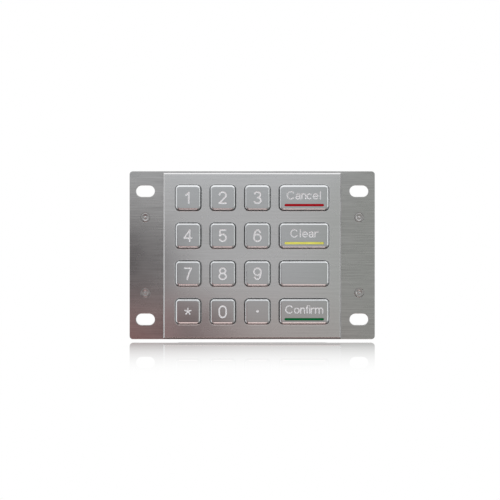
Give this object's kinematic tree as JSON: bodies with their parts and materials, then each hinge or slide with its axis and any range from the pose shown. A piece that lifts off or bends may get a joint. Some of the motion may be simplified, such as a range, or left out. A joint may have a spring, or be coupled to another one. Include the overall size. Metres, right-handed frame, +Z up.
{
  "type": "keypad access reader",
  "caption": "Panel-mount stainless steel entry keypad: square digit keys, wide function keys with coloured bars, a slotted flange and a sealed rear housing.",
  "frame": {"origin": "centre of the mounting flange's front face, in the plane where it bears on the back of the panel", "axes": "+X to the user's right, +Y into the panel and away from the user, +Z up"},
  "size_m": [0.146, 0.041, 0.1],
  "materials": {
    "flange_steel": "horizontally brushed stainless steel",
    "face_steel": "fine brushed stainless steel with eased edges",
    "key_steel": "brushed stainless steel with bright rounded edges and engraved legends",
    "fastener_steel": "bright stainless steel",
    "cast_aluminium": "bead-blasted die casting",
    "cover_steel": "satin stainless steel sheet",
    "plated_steel": "zinc-plated steel sheet",
    "nickel_plate": "nickel-plated brass",
    "red_inlay": "filled resin, level with the key",
    "yellow_inlay": "filled resin, level with the key",
    "green_inlay": "filled resin, level with the key",
    "nylon": "moulded nylon",
    "silicone": "moulded silicone rubber",
    "gasket_rubber": "closed-cell rubber",
    "circuit_board": "solder-masked glass-fibre laminate",
    "component_plastic": "moulded component plastic"
  },
  "bodies": {
    "chassis": {"backing_plate": "plated_steel", "backup_battery": "nickel_plate", "board_link_connector": "component_plastic", "board_screw_lower_left": "fastener_steel", "board_screw_lower_right": "fastener_steel", "board_screw_upper_left": "fastener_steel", "board_screw_upper_right": "fastener_steel", "buzzer": "component_plastic", "controller_board": "circuit_board", "cover_screw_lower_left": "fastener_steel", "cover_screw_lower_middle": "fastener_steel", "cover_screw_lower_right": "fastener_steel", "cover_screw_upper_left": "fastener_steel", "cover_screw_upper_middle": "fastener_steel", "cover_screw_upper_right": "fastener_steel", "earth_bolt": "nickel_plate", "earth_nut": "nickel_plate", "earth_washer": "nickel_plate", "face_plate": "face_steel", "flange_stud_lower_left": "fastener_steel", "flange_stud_lower_right": "fastener_steel", "flange_stud_upper_left": "fastener_steel", "flange_stud_upper_right": "fastener_steel", "housing_gasket": "gasket_rubber", "housing_nut_lower_left": "fastener_steel", "housing_nut_lower_right": "fastener_steel", "housing_nut_upper_left": "fastener_steel", "housing_nut_upper_right": "fastener_steel", "interface_header": "component_plastic", "key_circuit_board": "circuit_board", "key_guide": "nylon", "mounting_flange": "flange_steel", "rear_cover": "cover_steel", "rear_housing": "cast_aluminium", "secure_processor": "component_plastic", "silicone_keymat": "silicone", "standoff_lower_left": "nickel_plate", "standoff_lower_right": "nickel_plate", "standoff_upper_left": "nickel_plate", "standoff_upper_right": "nickel_plate", "tamper_switch": "component_plastic"},
    "key_1": {"key_1": "key_steel"},
    "key_2": {"key_2": "key_steel"},
    "key_3": {"key_3": "key_steel"},
    "key_cancel": {"key_cancel": "key_steel", "inlay_red": "red_inlay"},
    "key_4": {"key_4": "key_steel"},
    "key_5": {"key_5": "key_steel"},
    "key_6": {"key_6": "key_steel"},
    "key_clear": {"key_clear": "key_steel", "inlay_yellow": "yellow_inlay"},
    "key_7": {"key_7": "key_steel"},
    "key_8": {"key_8": "key_steel"},
    "key_9": {"key_9": "key_steel"},
    "key_blank": {"key_blank": "key_steel"},
    "key_star": {"key_star": "key_steel"},
    "key_0": {"key_0": "key_steel"},
    "key_point": {"key_point": "key_steel"},
    "key_confirm": {"key_confirm": "key_steel", "inlay_green": "green_inlay"}
  },
  "joints": [
    {"name": "press_1", "type": "slide", "parent": "chassis", "child": "key_1", "axis": [0, 1, 0], "range_m": [0, 0.001], "stiffness_N_per_m": 2500, "deforming": ["silicone_keymat"]},
    {"name": "press_2", "type": "slide", "parent": "chassis", "child": "key_2", "axis": [0, 1, 0], "range_m": [0, 0.001], "stiffness_N_per_m": 2500, "deforming": ["silicone_keymat"]},
    {"name": "press_3", "type": "slide", "parent": "chassis", "child": "key_3", "axis": [0, 1, 0], "range_m": [0, 0.001], "stiffness_N_per_m": 2500, "deforming": ["silicone_keymat"]},
    {"name": "press_cancel", "type": "slide", "parent": "chassis", "child": "key_cancel", "axis": [0, 1, 0], "range_m": [0, 0.001], "stiffness_N_per_m": 2500, "deforming": ["silicone_keymat"]},
    {"name": "press_4", "type": "slide", "parent": "chassis", "child": "key_4", "axis": [0, 1, 0], "range_m": [0, 0.001], "stiffness_N_per_m": 2500, "deforming": ["silicone_keymat"]},
    {"name": "press_5", "type": "slide", "parent": "chassis", "child": "key_5", "axis": [0, 1, 0], "range_m": [0, 0.001], "stiffness_N_per_m": 2500, "deforming": ["silicone_keymat"]},
    {"name": "press_6", "type": "slide", "parent": "chassis", "child": "key_6", "axis": [0, 1, 0], "range_m": [0, 0.001], "stiffness_N_per_m": 2500, "deforming": ["silicone_keymat"]},
    {"name": "press_clear", "type": "slide", "parent": "chassis", "child": "key_clear", "axis": [0, 1, 0], "range_m": [0, 0.001], "stiffness_N_per_m": 2500, "deforming": ["silicone_keymat"]},
    {"name": "press_7", "type": "slide", "parent": "chassis", "child": "key_7", "axis": [0, 1, 0], "range_m": [0, 0.001], "stiffness_N_per_m": 2500, "deforming": ["silicone_keymat"]},
    {"name": "press_8", "type": "slide", "parent": "chassis", "child": "key_8", "axis": [0, 1, 0], "range_m": [0, 0.001], "stiffness_N_per_m": 2500, "deforming": ["silicone_keymat"]},
    {"name": "press_9", "type": "slide", "parent": "chassis", "child": "key_9", "axis": [0, 1, 0], "range_m": [0, 0.001], "stiffness_N_per_m": 2500, "deforming": ["silicone_keymat"]},
    {"name": "press_blank", "type": "slide", "parent": "chassis", "child": "key_blank", "axis": [0, 1, 0], "range_m": [0, 0.001], "stiffness_N_per_m": 2500, "deforming": ["silicone_keymat"]},
    {"name": "press_star", "type": "slide", "parent": "chassis", "child": "key_star", "axis": [0, 1, 0], "range_m": [0, 0.001], "stiffness_N_per_m": 2500, "deforming": ["silicone_keymat"]},
    {"name": "press_0", "type": "slide", "parent": "chassis", "child": "key_0", "axis": [0, 1, 0], "range_m": [0, 0.001], "stiffness_N_per_m": 2500, "deforming": ["silicone_keymat"]},
    {"name": "press_point", "type": "slide", "parent": "chassis", "child": "key_point", "axis": [0, 1, 0], "range_m": [0, 0.001], "stiffness_N_per_m": 2500, "deforming": ["silicone_keymat"]},
    {"name": "press_confirm", "type": "slide", "parent": "chassis", "child": "key_confirm", "axis": [0, 1, 0], "range_m": [0, 0.001], "stiffness_N_per_m": 2500, "deforming": ["silicone_keymat"]}
  ]
}
